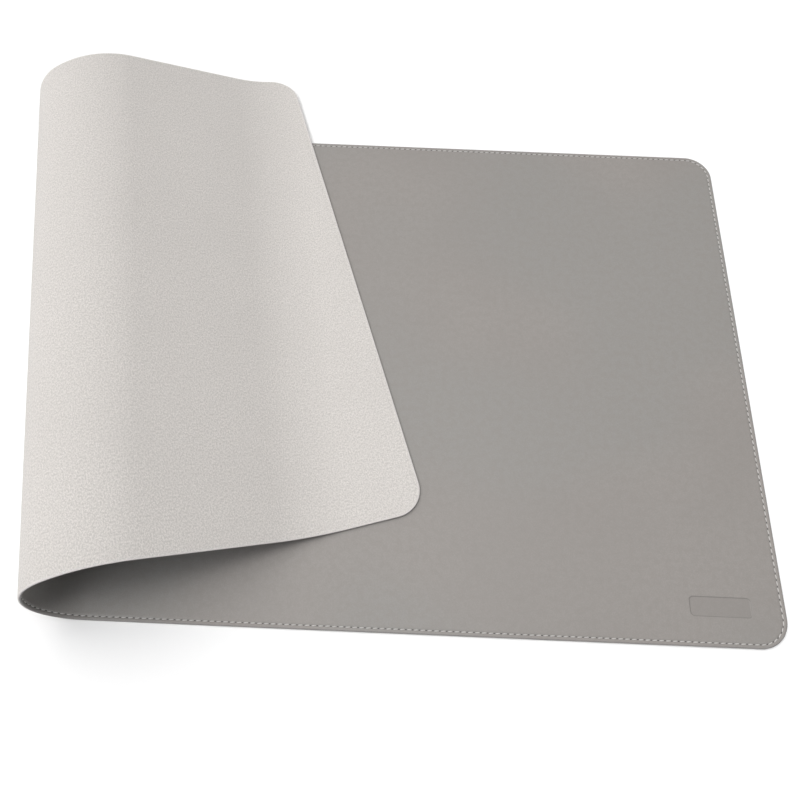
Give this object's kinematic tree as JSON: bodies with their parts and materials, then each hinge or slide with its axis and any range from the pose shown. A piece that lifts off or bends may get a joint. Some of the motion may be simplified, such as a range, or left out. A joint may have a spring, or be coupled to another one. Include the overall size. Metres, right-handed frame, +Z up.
{
  "type": "desk mat",
  "caption": "Two-sided leathercloth desk mat with rounded corners and a stitched edge, its left end curled over onto its own top; it unrolls flat.",
  "frame": {"origin": "on the mat's underside, under the middle of the part that stays flat (the mount desk_face)", "axes": "+Z up out of the desk, +X along the mat's length away from the curled end, +Y across its width"},
  "size_m": [0.5458, 0.4616, 0.0669],
  "materials": {
    "grey_leathercloth": "fine-grained, matt to satin",
    "pale_suede": "napped suede, matt",
    "face_thread": "twisted sewing thread",
    "backing_thread": "twisted sewing thread"
  },
  "bodies": {
    "base": {"base_face": "grey_leathercloth", "base_backing": "pale_suede", "base_needle_thread": "face_thread", "base_bobbin_thread": "backing_thread"},
    "nose_1": {"nose_1_face": "grey_leathercloth", "nose_1_backing": "pale_suede", "nose_1_near_needle_thread": "face_thread", "nose_1_far_needle_thread": "face_thread", "nose_1_near_bobbin_thread": "backing_thread", "nose_1_far_bobbin_thread": "backing_thread"},
    "nose_2": {"nose_2_face": "grey_leathercloth", "nose_2_backing": "pale_suede", "nose_2_near_needle_thread": "face_thread", "nose_2_far_needle_thread": "face_thread", "nose_2_near_bobbin_thread": "backing_thread", "nose_2_far_bobbin_thread": "backing_thread"},
    "nose_3": {"nose_3_face": "grey_leathercloth", "nose_3_backing": "pale_suede", "nose_3_near_needle_thread": "face_thread", "nose_3_far_needle_thread": "face_thread", "nose_3_near_bobbin_thread": "backing_thread", "nose_3_far_bobbin_thread": "backing_thread"},
    "nose_4": {"nose_4_face": "grey_leathercloth", "nose_4_backing": "pale_suede", "nose_4_near_needle_thread": "face_thread", "nose_4_far_needle_thread": "face_thread", "nose_4_near_bobbin_thread": "backing_thread", "nose_4_far_bobbin_thread": "backing_thread"},
    "crown_1": {"crown_1_face": "grey_leathercloth", "crown_1_backing": "pale_suede", "crown_1_near_needle_thread": "face_thread", "crown_1_far_needle_thread": "face_thread", "crown_1_near_bobbin_thread": "backing_thread", "crown_1_far_bobbin_thread": "backing_thread"},
    "crown_2": {"crown_2_face": "grey_leathercloth", "crown_2_backing": "pale_suede", "crown_2_near_needle_thread": "face_thread", "crown_2_far_needle_thread": "face_thread", "crown_2_near_bobbin_thread": "backing_thread", "crown_2_far_bobbin_thread": "backing_thread"},
    "ramp": {"ramp_face": "grey_leathercloth", "ramp_backing": "pale_suede", "ramp_near_needle_thread": "face_thread", "ramp_far_needle_thread": "face_thread", "ramp_near_bobbin_thread": "backing_thread", "ramp_far_bobbin_thread": "backing_thread"},
    "landing": {"landing_face": "grey_leathercloth", "landing_backing": "pale_suede", "landing_near_needle_thread": "face_thread", "landing_far_needle_thread": "face_thread", "landing_near_bobbin_thread": "backing_thread", "landing_far_bobbin_thread": "backing_thread"},
    "flap": {"flap_face": "grey_leathercloth", "flap_backing": "pale_suede", "flap_needle_thread": "face_thread", "flap_bobbin_thread": "backing_thread"}
  },
  "joints": [
    {"name": "crease_1", "type": "hinge", "parent": "base", "child": "nose_1", "pos_m": [-0.24939, -0.06788, 0.001], "axis": [0.1461, -0.9893, 0], "range_deg": [0, 19.5]},
    {"name": "crease_2", "type": "hinge", "parent": "nose_1", "child": "nose_2", "pos_m": [-0.26869, -0.07073, 0.00791], "axis": [0.1461, -0.9893, 0], "range_deg": [0, 39]},
    {"name": "crease_3", "type": "hinge", "parent": "nose_2", "child": "nose_3", "pos_m": [-0.27939, -0.07231, 0.02556], "axis": [0.1461, -0.9893, 0], "range_deg": [0, 39]},
    {"name": "crease_4", "type": "hinge", "parent": "nose_3", "child": "nose_4", "pos_m": [-0.27671, -0.07192, 0.04607], "axis": [0.1461, -0.9893, 0], "range_deg": [0, 39]},
    {"name": "crease_5", "type": "hinge", "parent": "nose_4", "child": "crown_1", "pos_m": [-0.26186, -0.06972, 0.06032], "axis": [0.1461, -0.9893, 0], "range_deg": [0, 32.5]},
    {"name": "crease_6", "type": "hinge", "parent": "crown_1", "child": "crown_2", "pos_m": [-0.23303, -0.06547, 0.06599], "axis": [0.1461, -0.9893, 0], "range_deg": [0, 26]},
    {"name": "crease_7", "type": "hinge", "parent": "crown_2", "child": "ramp", "pos_m": [-0.20465, -0.06128, 0.0583], "axis": [0.1461, -0.9893, 0], "range_deg": [0, 13]},
    {"name": "crease_8", "type": "hinge", "parent": "ramp", "child": "landing", "pos_m": [-0.12628, -0.0497, 0.01618], "axis": [-0.1461, 0.9893, 0], "range_deg": [0, 14]},
    {"name": "crease_9", "type": "hinge", "parent": "landing", "child": "flap", "pos_m": [-0.07519, -0.04216, 0.0033], "axis": [-0.1461, 0.9893, 0], "range_deg": [0, 14]}
  ],
  "couplings": [
    {"joint": "crease_2", "follows": "crease_1", "ratio": 2},
    {"joint": "crease_3", "follows": "crease_1", "ratio": 2},
    {"joint": "crease_4", "follows": "crease_1", "ratio": 2},
    {"joint": "crease_5", "follows": "crease_1", "ratio": 1.6667},
    {"joint": "crease_6", "follows": "crease_1", "ratio": 1.3333},
    {"joint": "crease_7", "follows": "crease_1", "ratio": 0.66667},
    {"joint": "crease_8", "follows": "crease_1", "ratio": 0.71795},
    {"joint": "crease_9", "follows": "crease_1", "ratio": 0.71795}
  ]
}
